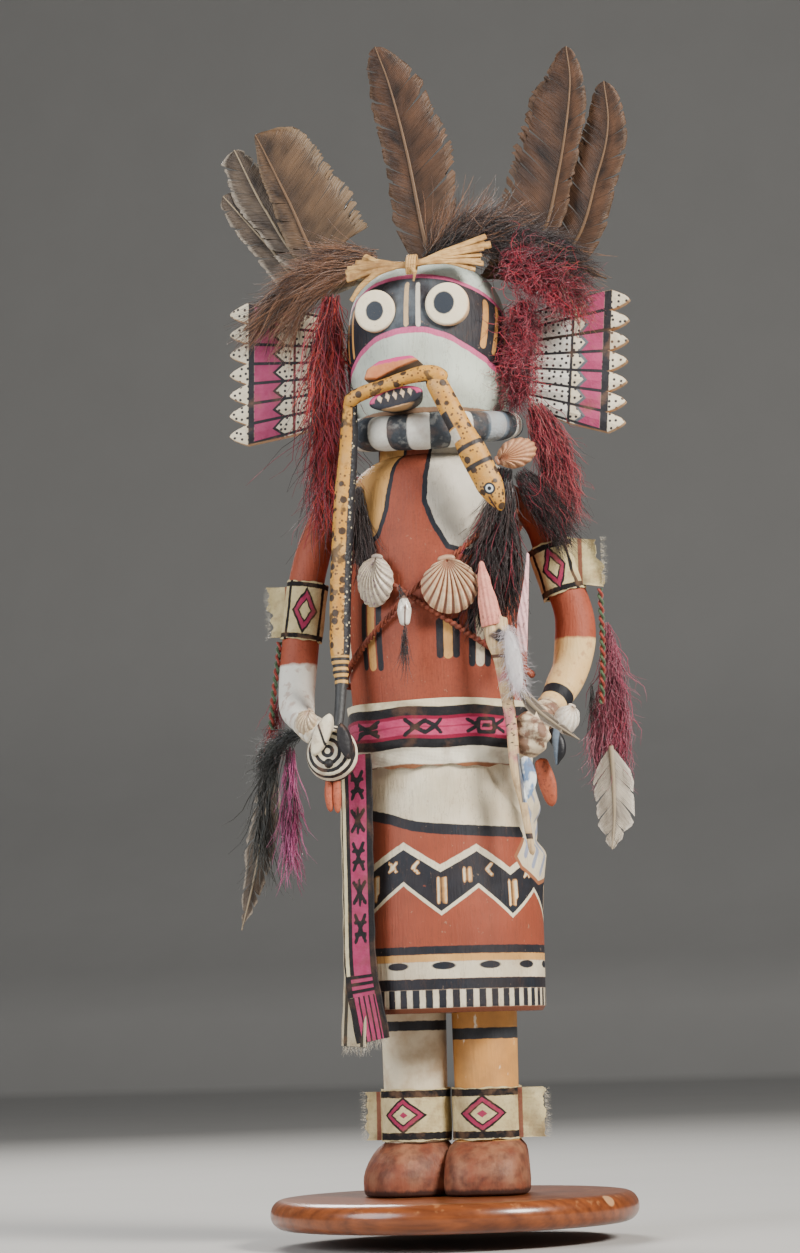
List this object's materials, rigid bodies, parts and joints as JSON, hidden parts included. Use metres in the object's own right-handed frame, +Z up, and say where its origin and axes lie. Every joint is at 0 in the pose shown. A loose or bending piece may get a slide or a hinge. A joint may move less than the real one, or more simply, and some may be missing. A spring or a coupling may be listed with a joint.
{
  "type": "kachina doll",
  "caption": "Carved and painted wooden kachina figure with goggle eyes, a snake in its mouth, ear fans, feathers, kilt and sash, standing on a round base.",
  "frame": {"origin": "centre of the round base, on its underside", "axes": "+Z up through the standing figure, +X towards the doll's left hand, and the doll faces -Y"},
  "size_m": [0.173, 0.1454, 0.4818],
  "materials": {
    "base_wood": "varnished, brown with darker grain",
    "body_paint": "carved cottonwood root with matt mineral paint: terracotta body, patterned kilt, banded legs and moccasins",
    "eye_paint": "carved wood painted cream with black pupils",
    "lip_paint": "carved wood painted black, white, pink and orange",
    "snake_paint": "carved wood painted yellow with dark ring spots",
    "ruff_paint": "carved roll painted in black and white bands",
    "fan_paint": "thin carved board painted cream, pink and black as feathers",
    "feather_brown": "natural feather, brown with pale ragged edges",
    "feather_grey": "natural feather, grey and cream",
    "husk": "dry maize husk strips, cream yellow",
    "fur_dark": "dark brown to black hair and fur",
    "fur_brown": "reddish brown fur",
    "hair_red": "dyed red horsehair",
    "wool_maroon": "dyed maroon wool and hair",
    "wool_pink": "dyed pink and violet wool and ribbons",
    "yarn_grey": "dark grey green yarn",
    "shell": "natural sea shell, ribbed, tan and cream",
    "pearl": "small glossy pale shell",
    "hide": "twisted red brown hide cord",
    "sash": "painted woven strip, pink with black figures and white edges",
    "canvas": "cream cloth band with a painted diamond and frayed ends",
    "cord": "twisted red and green cord",
    "bundle_paint": "carved bowl painted black and cream with leaf shapes",
    "hand_tab": "small carved tab with red brown paint",
    "wand_wood": "pale split stick with painted end",
    "blade_paint": "thin blade painted pink and orange",
    "fluff": "white down fluff"
  },
  "bodies": {
    "root": {"base": "base_wood", "carved_figure": "body_paint", "right_arm": "body_paint", "left_arm": "body_paint", "right_eye": "eye_paint", "left_eye": "eye_paint", "snake": "snake_paint", "upper_lip": "lip_paint", "lower_lip": "lip_paint", "neck_ruff": "ruff_paint", "right_ear_fan": "fan_paint", "left_ear_fan": "fan_paint", "right_outer_feather": "feather_grey", "right_ragged_feather": "feather_grey", "right_broad_feather": "feather_brown", "center_feather": "feather_brown", "left_broad_feather": "feather_brown", "left_back_feather": "feather_brown", "left_side_feather": "feather_brown", "husk_bundle": "husk", "crown_fur": "fur_dark", "right_fur_fringe": "fur_brown", "right_hair": "hair_red", "left_hair": "wool_maroon", "left_wool_ball": "wool_maroon", "left_hair_strands": "wool_maroon", "left_chest_tuft": "fur_dark", "right_chest_tuft": "fur_dark", "left_shoulder_tuft": "fur_dark", "left_chest_shell": "shell", "right_chest_shell": "shell", "shoulder_shell": "shell", "pendant_shell": "pearl", "right_wrist_shell": "shell", "left_wrist_shell": "pearl", "bandolier_right": "hide", "bandolier_left": "hide", "waist_sash": "sash", "hanging_sash": "sash", "hanging_sash_back": "sash", "right_armband": "canvas", "left_armband": "canvas", "right_ankle_band": "canvas", "left_ankle_band": "canvas", "right_armband_cord": "cord", "left_armband_cord": "cord", "right_tassel_wool": "wool_maroon", "right_wrist_yarn": "yarn_grey", "right_tassel_feathers": "feather_grey", "right_tassel_ribbons": "wool_pink", "left_tassel_wool": "wool_pink", "left_tassel_feather": "feather_grey", "right_hand_bowl": "bundle_paint", "right_hand_tab": "hand_tab", "wand_stick": "wand_wood", "wand_blade": "blade_paint", "wand_fluff": "fluff", "wand_back_blade": "blade_paint", "wand_feather": "feather_grey", "left_hip_tab": "hand_tab"}
  },
  "joints": []
}
